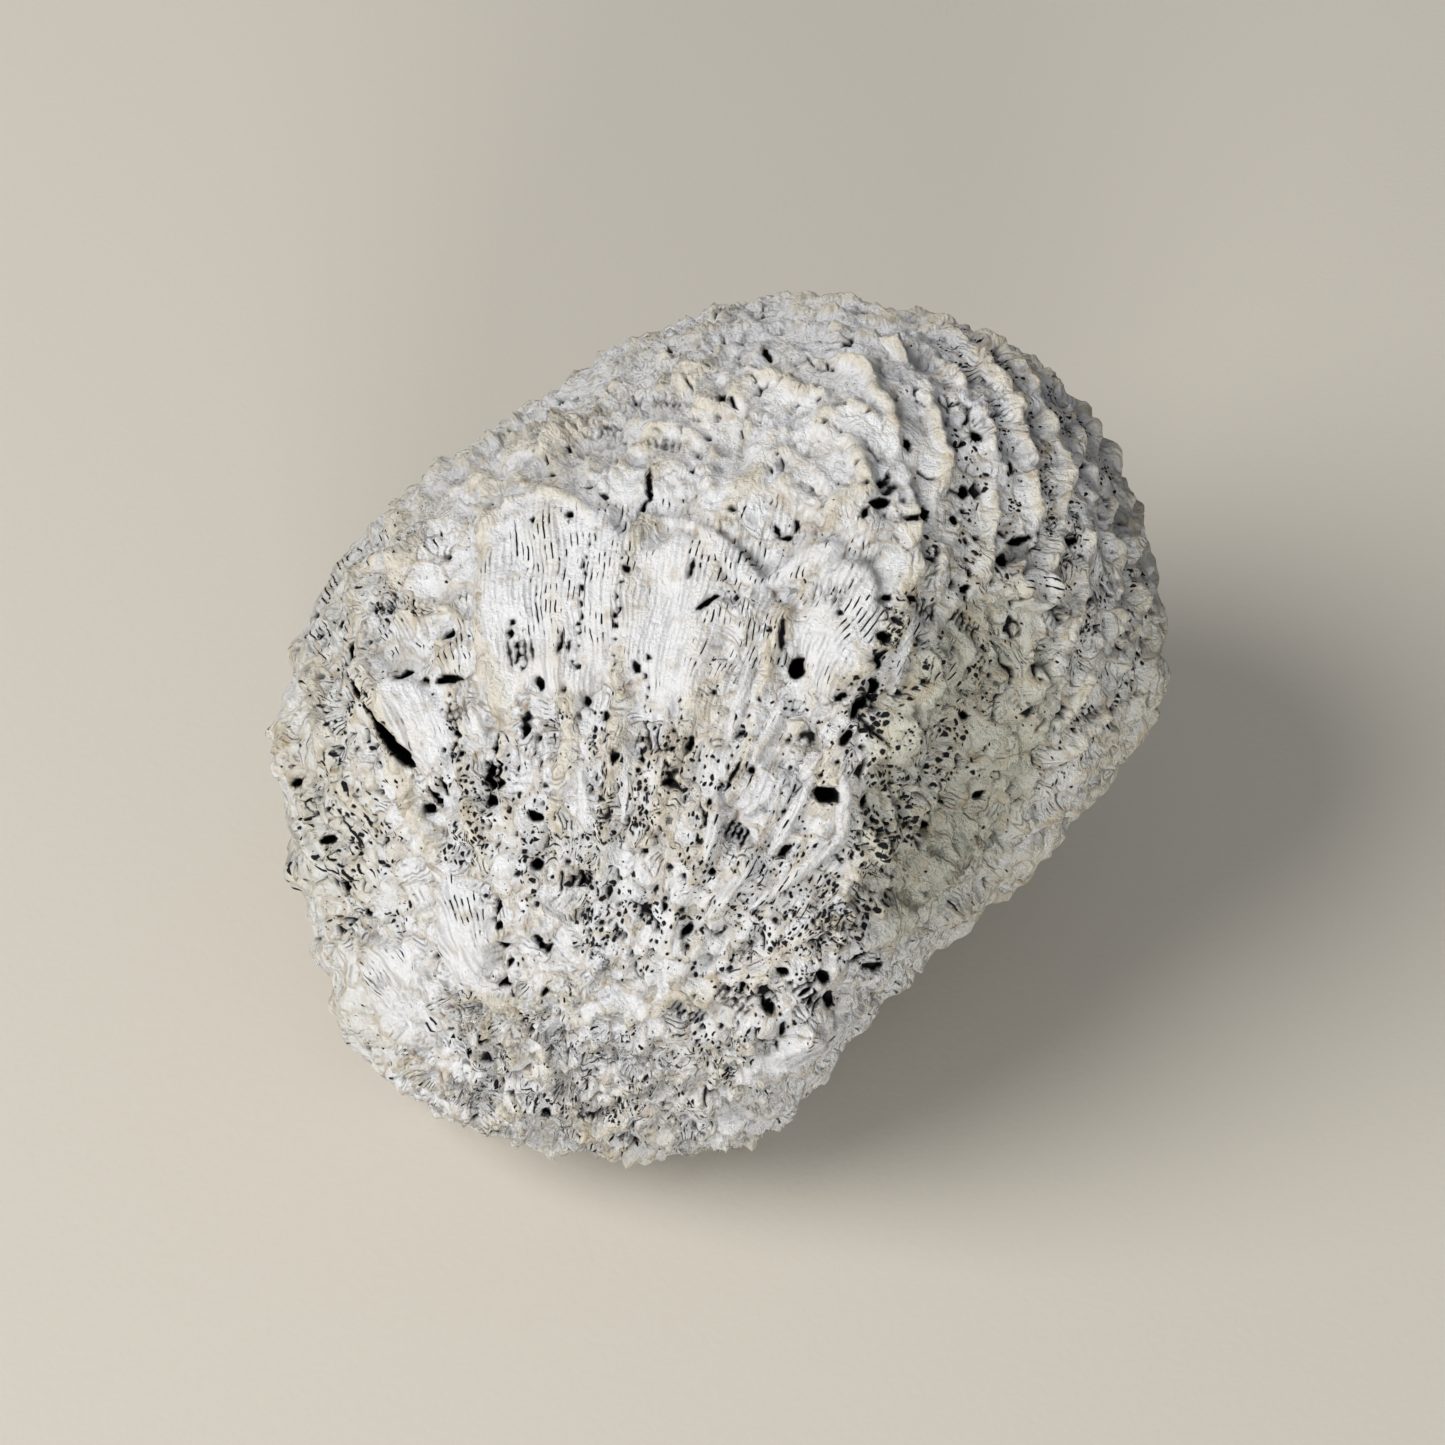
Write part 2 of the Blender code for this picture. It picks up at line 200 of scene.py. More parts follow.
# Holes and slits: across, up, half width, half length, lean, depth
holeList = [
    (-45.2, 1.4, 0.5, 5.6, -33.0, 6.5),  # crack, its thin upper end
    (-42.8, -2.8, 0.7, 3.6, -33.0, 8.0),  # and its wide lower end
    (-38.7, -9.3, 0.4, 2.0, -33.0, 3.0),
    (-39.0, -11.0, 0.6, 0.9, -40.0, 3.0),
    (-37.3, -7.8, 0.35, 1.5, -20.0, 2.4),
    (-50.4, 10.2, 0.75, 1.5, 20.0, 4.0),  # left cheek
    (-52.1, 14.1, 0.5, 0.8, 50.0, 2.6),
    (-55.5, 12.2, 0.5, 0.5, 0.0, 2.0),
    (-58.0, -7.8, 0.7, 0.7, 0.0, 3.0),
    (-53.3, -15.5, 0.8, 0.8, 0.0, 3.0),
    (-51.4, -22.0, 0.8, 1.3, 20.0, 3.0),
    (-47.3, -25.1, 1.1, 0.6, 0.0, 2.5),
    (-42.1, 6.8, 0.65, 1.0, 10.0, 3.0),  # along the foot of the chalky swelling
    (-39.4, 6.2, 0.8, 0.5, 0.0, 2.0),
    (-35.9, 6.1, 0.65, 2.4, 84.0, 4.0),
    (-35.5, 12.1, 0.4, 0.9, 20.0, 2.0),
    (-23.1, 5.4, 0.85, 0.9, 0.0, 3.5),
    (-14.4, 1.3, 0.8, 1.0, 70.0, 3.0),
    (-17.2, 3.2, 0.5, 0.8, 0.0, 2.0),
    (-24.9, 0.2, 0.6, 1.9, 15.0, 3.0),
    (-21.1, 0.3, 0.4, 0.4, 0.0, 1.6),
    (-30.9, -5.4, 1.3, 0.7, 60.0, 4.0),  # rough pocket
    (-28.4, -5.6, 1.4, 0.6, 75.0, 3.4),
    (-30.2, -2.4, 0.6, 1.3, 20.0, 3.4),
    (-30.9, -7.2, 1.1, 0.5, 70.0, 3.2),
    (-28.0, -7.6, 0.6, 0.9, 40.0, 2.6),
    (-30.3, -9.7, 0.7, 1.0, -20.0, 3.5),
    (-24.1, -11.6, 1.0, 0.9, 30.0, 4.0),
    (-24.1, -18.1, 0.75, 0.8, 0.0, 3.5),
    (-18.8, 26.7, 0.5, 0.5, 0.0, 2.5),
    (-23.4, 26.1, 0.4, 0.4, 0.0, 2.0),
    (-16.8, 30.9, 0.45, 0.45, 0.0, 2.0),
    (-11.5, 19.9, 0.55, 0.65, 0.0, 2.0),
    (-10.5, 7.6, 0.5, 0.8, -20.0, 2.2),
    (-8.9, 30.9, 0.42, 2.0, 8.0, 3.0),  # curved slit
    (-10.1, 27.8, 0.35, 1.8, 28.0, 2.0),
    (-3.3, 19.9, 0.45, 1.3, 20.0, 2.0),
    (-1.4, 15.8, 0.45, 1.9, 52.0, 2.0),
    (8.2, 11.8, 0.45, 2.2, 8.0, 2.4),
    (9.8, 7.5, 1.25, 1.6, 0.0, 7.0),  # round borehole
    (15.2, 3.8, 0.5, 1.2, 60.0, 2.4),
    (13.5, -8.5, 1.8, 1.05, 10.0, 6.5),  # hole at the crest
    (18.3, 3.4, 0.9, 3.6, 32.0, 4.5),  # groove behind the crest
    (19.4, 8.8, 0.8, 1.5, 12.0, 3.0),
    (19.8, 11.6, 0.7, 0.8, 0.0, 2.6),
    (16.0, -1.4, 0.7, 1.2, 40.0, 2.5),
    (18.4, -9.5, 0.45, 1.2, 20.0, 2.2),
    (20.9, 16.4, 0.6, 0.6, 0.0, 2.4),
    (23.1, 16.4, 0.5, 0.6, 0.0, 2.2),
    (20.3, 28.4, 0.75, 1.7, 75.0, 3.0),  # at the feet of the dome's ridges
    (18.4, 26.8, 0.6, 0.9, 30.0, 2.4),
    (26.2, 27.3, 0.7, 1.0, 20.0, 3.0),
    (24.0, 26.4, 0.6, 1.0, 80.0, 2.4),
    (29.9, 26.6, 0.5, 0.9, 0.0, 2.8),
    (31.8, 30.6, 0.7, 1.2, 10.0, 3.0),
    (37.8, 33.8, 0.45, 1.1, 10.0, 2.8),
    (33.4, 37.8, 0.7, 0.9, -40.0, 2.4),
    (46.2, 24.4, 0.5, 1.1, 60.0, 2.8),
    (31.5, 17.8, 0.5, 0.9, 60.0, 2.6),
    (24.1, 36.5, 0.5, 0.9, 0.0, 2.2),
    (20.5, 31.3, 0.5, 0.7, 0.0, 2.2),
    (43.6, 15.5, 0.5, 0.9, 70.0, 2.2),
    (38.4, 22.6, 1.7, 2.7, 70.0, 1.0),  # cavity over the knob
    (38.6, 24.2, 0.6, 2.0, 72.0, 3.0),
    (36.4, 21.4, 0.7, 1.0, 20.0, 3.0),
    (31.7, 1.5, 0.7, 0.7, 0.0, 2.6),
    (34.9, -9.7, 0.7, 0.9, 30.0, 2.6),
    (27.6, -13.3, 0.6, 0.8, 20.0, 2.2),
    (4.1, -5.6, 0.5, 0.7, 0.0, 2.0),
    (-3.8, -2.2, 0.5, 1.4, 10.0, 2.4),
    (-13.0, -3.8, 0.55, 0.9, 10.0, 2.4),
    (1.8, -6.2, 0.4, 2.9, 30.0, 2.0),
    (8.1, -16.0, 0.6, 1.3, 35.0, 2.0),
    (-8.5, -21.1, 0.4, 0.9, 20.0, 1.6),
    (-1.1, -18.7, 0.6, 0.5, 0.0, 2.0),
    (-7.3, -23.2, 0.55, 0.9, 0.0, 2.2),
    (-4.5, -26.6, 0.6, 1.2, 40.0, 2.6),
    (8.1, -31.3, 0.9, 0.75, 0.0, 3.0),
    (5.9, -36.2, 0.65, 1.7, -35.0, 3.0),
    (8.0, -39.6, 0.6, 1.4, 10.0, 2.5),
    (2.7, -33.7, 0.45, 1.2, 10.0, 2.5),
    (0.9, -34.0, 0.5, 0.5, 0.0, 2.0),
    (14.8, -36.2, 0.7, 1.2, 30.0, 2.2),
    (19.4, -31.0, 0.6, 1.5, 70.0, 2.2),
    (13.3, -32.5, 0.8, 0.9, 30.0, 2.5),
    (18.0, -29.8, 0.5, 1.7, 60.0, 2.0),
    (12.2, -41.4, 0.8, 9.0, 55.0, 0.45),  # groove above the rim ledge
    (-29.2, -23.6, 0.4, 1.6, 12.0, 2.0),  # column of pits
    (-28.7, -26.0, 0.6, 0.7, 0.0, 2.4),
    (-28.4, -28.6, 0.7, 0.6, 0.0, 2.4),
    (-28.0, -31.3, 0.5, 0.9, 30.0, 2.2),
    (-28.6, -34.1, 0.9, 0.55, 0.0, 2.4),
    (-23.7, -28.3, 1.2, 0.6, 60.0, 2.6),
    (-22.6, -29.2, 0.4, 1.1, 30.0, 2.2),
    (-23.1, -34.9, 0.55, 0.55, 0.0, 2.0),
    (-33.6, -43.6, 0.5, 1.0, 75.0, 2.0),  # dark row under a ledge
    (-31.7, -41.4, 0.9, 0.6, 20.0, 2.2),
    (-29.3, -42.6, 0.7, 0.5, 0.0, 2.2),
    (-13.9, -56.4, 0.9, 0.6, 50.0, 2.0),
    (-23.4, -51.4, 0.9, 0.7, 20.0, 2.2),
    (0.5, 42.4, 0.5, 0.9, 0.0, 2.0),  # at the top
    (1.8, 42.0, 0.7, 0.4, 80.0, 1.8),
    (6.2, 49.1, 0.8, 0.5, 40.0, 1.6),
    (-20.1, 36.8, 0.4, 0.4, 0.0, 1.6),
    (-3.4, 32.7, 0.4, 0.4, 0.0, 1.6),
    (7.2, 25.2, 0.4, 1.1, -20.0, 1.6),
    (9.5, 26.1, 0.4, 1.2, 10.0, 1.6),
    (8.2, 24.3, 0.4, 1.0, 75.0, 1.6),
]

# Combs of slits between fine plates: across, up, slit length, step, count, lean of the slits, depth
combList = [
    (-19.4, -20.2, 1.5, 1.05, 4, -4.0, 1.8),
    (2.0, -13.8, 1.9, 0.8, 4, 26.0, 1.8),
    (-18.1, -24.8, 1.3, 0.85, 4, -8.0, 1.4),
    (-4.4, -37.6, 1.3, 0.85, 6, 32.0, 1.4),
    (1.8, -35.6, 2.1, 0.9, 6, 42.0, 1.1),
    (11.6, -35.2, 1.8, 0.85, 6, 52.0, 1.7),
    (14.2, -25.0, 1.2, 0.8, 6, 8.0, 1.2),
    (-40.4, -36.0, 2.8, 0.85, 6, -20.0, 0.6),
    (-44.8, -34.4, 1.6, 0.85, 4, -24.0, 0.7),
    (-45.0, 16.6, 1.7, 1.0, 5, -28.0, 1.3),
    (-22.0, -40.5, 1.2, 0.9, 5, 4.0, 1.0),
    (25.4, 15.4, 1.6, 0.85, 5, 18.0, 1.3),
    (31.2, 13.2, 1.5, 0.85, 5, 40.0, 1.3),
    (-34.6, 1.6, 2.4, 0.8, 4, -20.0, 1.0),
    (-25.4, 9.4, 2.4, 0.95, 4, -10.0, 1.3),
    (-19.4, 10.4, 2.2, 0.95, 2, 12.0, 1.6),
    (-7.4, 43.0, 1.1, 0.75, 6, 10.0, 0.9),
    (-7.2, 36.6, 1.3, 0.85, 5, 4.0, 0.9),
    (-16.0, 40.0, 0.9, 0.8, 7, 20.0, 0.7),
    (2.4, 26.0, 1.1, 0.8, 6, -4.0, 0.7),
    (14.2, 17.0, 2.4, 0.9, 5, 18.0, 0.8),
    (-57.0, -20.0, 4.6, 0.75, 3, -14.0, 0.5),
    (-20.6, -49.0, 1.2, 0.85, 5, 10.0, 0.9),
    (-36.0, -48.0, 1.3, 0.85, 5, -12.0, 0.7),
]

# Rows of small round pits: start across and up, end across and up, count, radius
rowList = [
    (-16.4, 23.4, -18.2, 8.4, 11, 0.32),
    (-11.6, 22.4, -13.6, 6.6, 12, 0.30),
    (-14.4, -2.0, -15.6, -14.0, 11, 0.36),
    (-9.0, 8.5, -10.2, -6.0, 10, 0.34),
    (-4.6, 4.0, -8.0, -14.0, 12, 0.34),
    (4.6, 3.0, -1.6, -11.0, 9, 0.34),
    (-26.6, 12.8, -25.4, 7.0, 6, 0.38),
    (-35.6, 4.6, -33.4, -10.0, 12, 0.34),
]


def ramp(values, low, high):
    share = np.clip((values - low) / (high - low), 0.0, 1.0)
    return share * share * (3.0 - 2.0 * share)


def clouds(points, size, offset=0.0):  # smooth noise, about -1 to 1, in lumps of this size
    return np.array([noise.noise(p) for p in (points / size + offset).tolist()])


# The way to the nearest of scattered seeds, in sizes, and a number for each

def nearestSeed(points, size, offset=0.0):
    seeds = np.array([tuple(noise.voronoi(p)[1][0]) for p in (points / size + offset).tolist()])
    number = np.modf(np.abs(np.sin(seeds @ np.array([12.9898, 78.233, 37.719])) * 43758.5453))[0]
    return points / size + offset - seeds, number


def cellNumber(column, row, seed):
    return np.modf(np.abs(np.sin(column * 12.9898 + row * 78.233 + seed * 37.719)) * 43758.5453)[0]


# The distance to the nearest pit of a loose grid, in cells, and a number for each

def nearestPit(columns, rows, seed):
    nearest = np.full(len(columns), 9.0)
    number = np.zeros(len(columns))
    for across in (-1.0, 0.0, 1.0):
        for along in (-1.0, 0.0, 1.0):
            column = np.floor(columns) + across
            row = np.floor(rows) + along
            middleAcross = column + 0.5 + 0.6 * (cellNumber(column, row, seed) - 0.5)
            middleAlong = row + 0.5 + 0.6 * (cellNumber(column, row, seed + 1) - 0.5)
            away = np.hypot(columns - middleAcross, rows - middleAlong)
            number = np.where(away < nearest, cellNumber(column, row, seed + 2), number)
            nearest = np.minimum(nearest, away)
    return nearest, number


def ovalDistance(points, across, up, wide, tall, lean):  # 1 on the rim of a leaning oval on the worn face
    turn = math.radians(lean)
    x = points[:, 0] - across
    y = points[:, 1] - up
    side = (x * math.cos(turn) - y * math.sin(turn)) / wide
    along = (x * math.sin(turn) + y * math.cos(turn)) / tall
    return np.hypot(side, along)


def selectPoints(piece, wanted):
    bpy.ops.mesh.select_all(action="DESELECT")
    bpy.ops.object.mode_set(mode="OBJECT")
    for point in piece.data.vertices:
        point.select = wanted(point.co)
    bpy.ops.object.mode_set(mode="EDIT")


def applyModifier(piece, kind, **settings):
    modifier = piece.modifiers.new(kind.lower(), kind)
    for name, value in settings.items():
        setattr(modifier, name, value)
    bpy.ops.object.modifier_apply(modifier=modifier.name)


def readPoints(mesh):
    points = np.empty(len(mesh.vertices) * 3)
    normals = np.empty(len(mesh.vertices) * 3)
    mesh.vertices.foreach_get("co", points)
    mesh.vertices.foreach_get("normal", normals)
    return points.reshape(-1, 3), normals.reshape(-1, 3)


def movePoints(mesh, points):
    mesh.vertices.foreach_set("co", points.ravel())
    mesh.update()


# A ball whose meridians are drawn out to the outline and whose rings are set to the sections

def shapeCage():
    reach = stoneForm["reach"]
    sections = stoneForm["sections"]
    rings = len(sections) + 1
    bpy.ops.mesh.primitive_uv_sphere_add(segments=len(reach), ring_count=rings, radius=1.0)
    ball = bpy.context.active_object
    ball.name = "coralStone"
    bpy.ops.object.mode_set(mode="EDIT")
    bpy.ops.mesh.select_mode(type="VERT")
    for number, length in enumerate(reach):
        heading = number * math.tau / len(reach)
        toward = Vector((math.cos(heading), math.sin(heading), 0.0))
        selectPoints(ball, lambda co: Vector((co.x, co.y, 0.0)).normalized().dot(toward) > 0.999)
        length *= stoneForm["cageSwell"]
        bpy.ops.transform.resize(value=(length, length, 1.0), center_override=(0.0, 0.0, 0.0))
    for number, (depth, across, up, wide, tall) in enumerate(sections):
        slope = math.pi * (number + 1) / rings
        level = math.cos(slope)
        selectPoints(ball, lambda co: abs(co.z - level) < 0.01)
        shares = (wide / math.sin(slope), tall / math.sin(slope), 1.0)
        bpy.ops.transform.resize(value=shares, center_override=(0.0, 0.0, 0.0))
        # rings are told apart by their height, so those placed are sent far off and brought back below
        bpy.ops.transform.translate(value=(across, up, depth * stoneForm["cageSwell"] - level + 1000.0))
    selectPoints(ball, lambda co: co.z > 500.0)
    bpy.ops.transform.translate(value=(0.0, 0.0, -1000.0))
    for level, tip in ((1.0, stoneForm["frontTip"]), (-1.0, stoneForm["backTip"])):
        selectPoints(ball, lambda co: abs(co.z - level) < 0.001 and math.hypot(co.x, co.y) < 0.001)
        bpy.ops.transform.translate(value=(tip[0], tip[1], tip[2] - level))
    bpy.ops.object.mode_set(mode="OBJECT")
    applyModifier(ball, "SUBSURF", levels=4, render_levels=4)
    return ball


def facing(points):  # 1 in front, 0 behind
    return ramp(points[:, 2], 0.0, 12.0)


def fromFoot(points):  # way across and up from where the walls of the fan start
    return points[:, 0] - growth["fanFoot"][0], points[:, 1] - growth["fanFoot"][1]


def swellForm(points):
    height = np.zeros(len(points))
    for *oval, rise in stoneForm["swells"]:
        height += rise * np.exp(-(ovalDistance(points, *oval) ** 2))
    return height * facing(points)


def domeShare(points):  # 0 on the worn face, 1 on the ridged dome round it and on the back
    away = np.hypot(points[:, 0] - growth["faceMiddle"][0], points[:, 1] - growth["faceMiddle"][1])
    away += 4.0 * clouds(points, 15.0, 3.0)
    behind = 1.0 - ramp(points[:, 2], -14.0, 2.0)
    return np.maximum(ramp(away, *growth["faceReach"]), behind)


def backShare(points):  # 1 where the ridges wind instead of ringing round the dome
    drift = clouds(points, 12.0, 4.0)
    pastDome = ramp(domeAngle(points) + 6.0 * drift, 74.0, 88.0)
    return np.maximum(1.0 - ramp(points[:, 2] + 5.0 * drift, -16.0, 4.0), pastDome)


def domeAngle(points):
    axis = np.array(Vector(growth["domeAxis"]).normalized())
    return np.degrees(np.arccos(np.clip(points @ axis / np.linalg.norm(points, axis=1), -1.0, 1.0)))


def ridgeWave(points):
    turns = domeAngle(points) / growth["ridgeStep"] + 0.32 * clouds(points, 16.0, 7.0)
    turns += 0.26 * clouds(points, 6.0, 9.0) + 0.11 * clouds(points, 2.6, 10.0)
    return 0.5 + 0.5 * np.cos(math.tau * turns)


def mazeRidges(points, normals):  # waves of one length that cross in every direction
    seeded = np.random.default_rng(4)
    directions = seeded.normal(size=(growth["mazeWaves"], 3))
    directions /= np.linalg.norm(directions, axis=1)[:, None]
    starts = seeded.uniform(0.0, math.tau, growth["mazeWaves"])
    height = np.zeros(len(points))
    power = np.zeros(len(points))
    for direction, start in zip(directions, starts):
        liesFlat = (1.0 - (normals @ direction) ** 2) ** 2
        height += liesFlat * np.cos(math.tau / growth["mazePitch"] * (points @ direction) + start)
        power += liesFlat**2 / 2.0
    return 1.0 / (1.0 + np.exp(-2.6 * height / np.sqrt(power)))


def fanWave(points, step):
    x, y = fromFoot(points)
    turns = np.degrees(np.arctan2(x, y)) / step + 0.5 * clouds(points, 13.0, 5.0)
    full = 0.3 + 0.7 * ramp(np.hypot(x, y), *growth["fanStart"])
    return (0.5 + 0.5 * np.cos(math.tau * turns)) ** 1.3 * full


def flankShare(points):
    return (1.0 - ramp(ovalDistance(points, *growth["flank"]), 0.75, 1.15)) * ramp(points[:, 2], -4.0, 8.0)


def brokenPieces(points, size):  # cells that lie each at its own tilt and height, about -1 to 1
    toSeed, number = nearestSeed(points, size, size)
    heading = number * math.tau * 5.0
    tilt = toSeed[:, 0] * np.cos(heading) + toSeed[:, 1] * np.sin(heading)
    tilt += 0.6 * toSeed[:, 2] * np.cos(3.0 * heading)
    return 1.3 * tilt + 0.5 * np.cos(7.0 * heading)


def plateHeight(points):
    height = np.zeros(len(points))
    ragged = 0.14 * clouds(points, 2.0, 25.0)
    for *oval, rise in plateList:
        height = np.maximum(height, rise * (1.0 - ramp(ovalDistance(points, *oval) + ragged, 0.82, 1.12)))
    return height * facing(points)


def archHeight(points):
    height = np.zeros(len(points))
    for across, up, radius, start, end, rise in archList:
        x = points[:, 0] - across
        y = points[:, 1] - up
        turn = np.degrees(np.arctan2(x, y))
        within = ramp(turn, start - 8.0, start + 8.0) * (1.0 - ramp(turn, end - 8.0, end + 8.0))
        rim = np.exp(-(((np.hypot(x, y) - radius) / relief["archWidth"]) ** 2))
        height = np.maximum(height, relief["arches"] * rise * within * rim)
    return height * facing(points)


# The fine radial plates run along these lines: the turn round a centre, how many times the distance from it
# has doubled, and the distance itself. New lines come in at each doubling, so their spacing stays nearly even.

def grainOf(points):
    x, y = fromFoot(points)
    wobble = 0.8 * clouds(points, 9.0, 21.0) + 0.25 * clouds(points, 3.0, 23.0)  # mm to the side
    away = np.maximum(np.hypot(x, y), 1.0)
    turn = np.arctan2(x, y) / math.tau + wobble / away / math.tau
    fan = np.stack([turn, np.log2(np.maximum(away, growth["fanLines"]) / growth["fanLines"]), away], axis=1)

    axis = Vector(growth["domeAxis"]).normalized()
    right = Vector((0.0, 1.0, 0.0)).cross(axis).normalized()
    upward = axis.cross(right)
    ringAway = np.maximum(np.linalg.norm(np.cross(points, np.array(axis)), axis=1), 1.0)
    ringTurn = np.arctan2(points @ np.array(right), points @ np.array(upward)) / math.tau
    ringTurn += wobble / ringAway / math.tau
    along = np.radians(domeAngle(points)) * np.linalg.norm(points, axis=1)
    doubled = np.log2(np.maximum(ringAway, growth["ringLines"]) / growth["ringLines"])
    ring = np.stack([ringTurn, doubled, along], axis=1)
    return fan, ring


def septaWave(grain, start, step):  # 1 on a fine plate, 0 in the groove beside it
    count = round(math.tau * start / step)
    doubled = np.floor(grain[:, 1])
    share = ramp(grain[:, 1] - doubled, 0.25, 0.75)
    lines = grain[:, 0] * count * 2.0**doubled
    wide = 0.5 + 0.5 * np.cos(math.tau * lines)
    narrow = 0.5 + 0.5 * np.cos(math.tau * 2.0 * lines)
    return wide * (1.0 - share) + narrow * share


def gridOf(grain, step):  # columns of pits between the fine plates, and places along them
    columns = grain[:, 0] * round(math.tau * growth["fanLines"] / step) * 2.0 ** np.floor(grain[:, 1])
    return columns, grain[:, 2] / (1.7 * step)


# Single corallites, small cups with a raised rim and fine plates round their middle, fill the top and the foot
# of the worn face where the fan of walls has given out

def corallites(points):
    toSeed = nearestSeed(points, growth["cupSize"], 11.0)[0]
    away = np.hypot(toSeed[:, 0], toSeed[:, 1])
    turn = np.arctan2(toSeed[:, 0], toSeed[:, 1]) / math.tau
    high = ramp(points[:, 1], 27.0, 34.0)
    place = np.maximum(high, 1.0 - ramp(np.hypot(*fromFoot(points)), 26.0, 40.0))
    place = np.maximum(place * (1.0 - domeShare(points)), (1.0 - ramp(points[:, 0], -4.0, 18.0)) * high)
    place *= facing(points) * ramp(clouds(points, 7.0, 15.0), -0.35, 0.0)
    return place, away, turn


def spongeShare(points):
    share = np.full(len(points), 0.34)
    for *oval, strength in spongeList:
        share = np.maximum(share, strength * (1.0 - ramp(ovalDistance(points, *oval), 0.6, 1.5)))
    share = share * facing(points) + 0.3 * (1.0 - facing(points))
    return share * (0.75 + 0.5 * clouds(points, 5.0, 61.0))


# Height over the smooth stone in millimetres, how far each place is sunk in a pit, how it stands over its
# surroundings, and its share in the crest of a ridge

def stoneRelief(points, normals):
    dome = domeShare(points)
    bare = 1.0 - dome
    behind = backShare(points)
    plate = plateHeight(points)
    smooth = np.minimum(plate, 1.0)
    fan, ring = grainOf(points)
    coarse = clouds(points, 2.4, 31.0)
    fine = clouds(points, 1.2, 37.0)

    # dome and back: ridges with crumbled crests and comb-like slopes
    leftFront = (1.0 - ramp(points[:, 0], -4.0, 18.0)) * ramp(points[:, 2], -10.0, 10.0)
    flank = flankShare(points)
    rings = ridgeWave(points) ** 3.0 * ramp(domeAngle(points), *growth["ringStart"])
    rings *= (1.0 - 0.9 * leftFront) * (1.0 - 0.9 * flank)
    maze = mazeRidges(points, normals)
    top = rings * (1.0 - behind) + maze * behind
    teeth = septaWave(ring, growth["ringLines"], 2.0 * growth["septa"])
    slope = 4.0 * top * (1.0 - top)
    strength = 0.2 + 1.2 * ramp(clouds(points, 4.4, 33.0), -0.35, 0.35)
    ridged = growth["ridgeHeight"] * strength * (rings - 0.3) * (1.0 - behind)
    ridged *= 0.65 + 0.35 * ramp(points[:, 2], -12.0, 4.0)
    ridged += growth["mazeHeight"] * (maze - 0.5) * behind
    uneven = 0.5 + 0.5 * ramp(clouds(points, 5.0, 35.0), -0.3, 0.3)
    crumbs = relief["domeCrumbs"][0] * coarse + relief["domeCrumbs"][1] * fine
    crumbs *= 0.55 + 0.45 * np.maximum(top, leftFront)
    crumbs += relief["teeth"] * (teeth - 0.5) * slope * uneven * (1.0 - behind)

    # worn face: fan of walls that are broken off here and there, with finer walls between them
    place, away, turn = corallites(points)
    toKnob = np.linalg.norm(nearestSeed(points, growth["knobSize"])[0], axis=1)
    knob = np.clip(1.0 - 1.25 * toKnob, 0.0, 1.0)
    broken = 0.4 + 0.6 * ramp(clouds(points * (1.0, 0.55, 1.0), 7.0, 45.0), -0.45, 0.25)
    walls = growth["fanHeight"] * (fanWave(points, growth["fanStep"]) - 0.4) * broken
    between = fanWave(points, growth["fanStep"] / 2.0) - 0.4
    walls += relief["halfWalls"] * between * broken * (1.0 - 0.5 * smooth)
    walls *= 1.0 - 0.6 * place
    cups = 0.8 * ramp(away, 0.3, 0.5) * (1.0 - ramp(away, 0.5, 0.75)) - 0.9 * (1.0 - ramp(away, 0.05, 0.16))
    cups += 0.3 * np.cos(math.tau * 22.0 * turn) * ramp(away, 0.12, 0.25) * (1.0 - ramp(away, 0.45, 0.6))
    knobby = growth["knobHeight"] * (knob - 0.3) * (1.0 - 0.6 * dome)
    ribs = septaWave(fan, growth["fanLines"], 2.0 * growth["septa"])
    crumbly = (0.5 + 0.5 * ramp(clouds(points, 9.0, 41.0), -0.25, 0.3)) * (1.0 - 0.7 * smooth)
    edge = 1.0 - ramp(points[:, 2], 2.0, 18.0)  # where the worn face turns away
    detail = relief["faceCrumbs"][0] * coarse + relief["faceCrumbs"][1] * fine
    detail *= crumbly * (1.0 - 0.5 * edge)
    detail += relief["ribs"] * (ribs - 0.5) * (0.5 + 0.5 * smooth) * (1.0 - place)

    over = dome * (ridged + crumbs) + bare * (walls * (1.0 - 0.6 * smooth) + detail)
    over += relief["cups"] * place * cups + archHeight(points)
    # broken pieces, most of all on the flank
    shaken = points + 0.7 * np.stack([coarse, fine, coarse], axis=1)
    loose = (0.45 + 0.55 * ramp(clouds(points, 8.0, 43.0), -0.3, 0.3)) * (1.0 - 0.85 * smooth)
    loose *= 1.0 - 0.6 * dome * (1.0 - leftFront)
    loose = np.maximum(loose, flank) * (1.0 - 0.45 * edge)
    for size, rise in growth["pieces"]:
        over += rise * loose * brokenPieces(shaken, size)
    height = over + relief["plates"] * plate + knobby * (1.0 - 0.7 * dome) * (1.0 - 0.6 * smooth)
    for size, rise in growth["lumps"]:
        height += rise * clouds(points, size, size)

    # pits a millimetre wide between the fine plates, and winding slots
    spongy = spongeShare(points) * (1.0 - 0.8 * smooth) * (1.0 - 0.7 * dome * top)
    spongy += 0.5 * dome * (1.0 - top)
    grain = np.where((dome > 0.5)[:, None], ring, fan)
    away, number = nearestPit(*gridOf(grain, relief["pitStep"]), 3)
    pits = (1.0 - ramp(away, 0.12, 0.32)) * (number < 0.2 * spongy)
    slots = 1.0 - ramp(np.abs(clouds(points * (1.0, 0.6, 1.0), 2.6, 71.0)), 0.02, 0.12)
    slots *= ramp(clouds(points, 3.6, 73.0), 0.1, 0.25) * ramp(spongy, 0.15, 0.5)
    sunk = np.maximum(pits, slots)
    return height - relief["pitDepth"] * sunk, sunk, over, top * dome * (1.0 - flank)


# Named holes go straight into the worn face

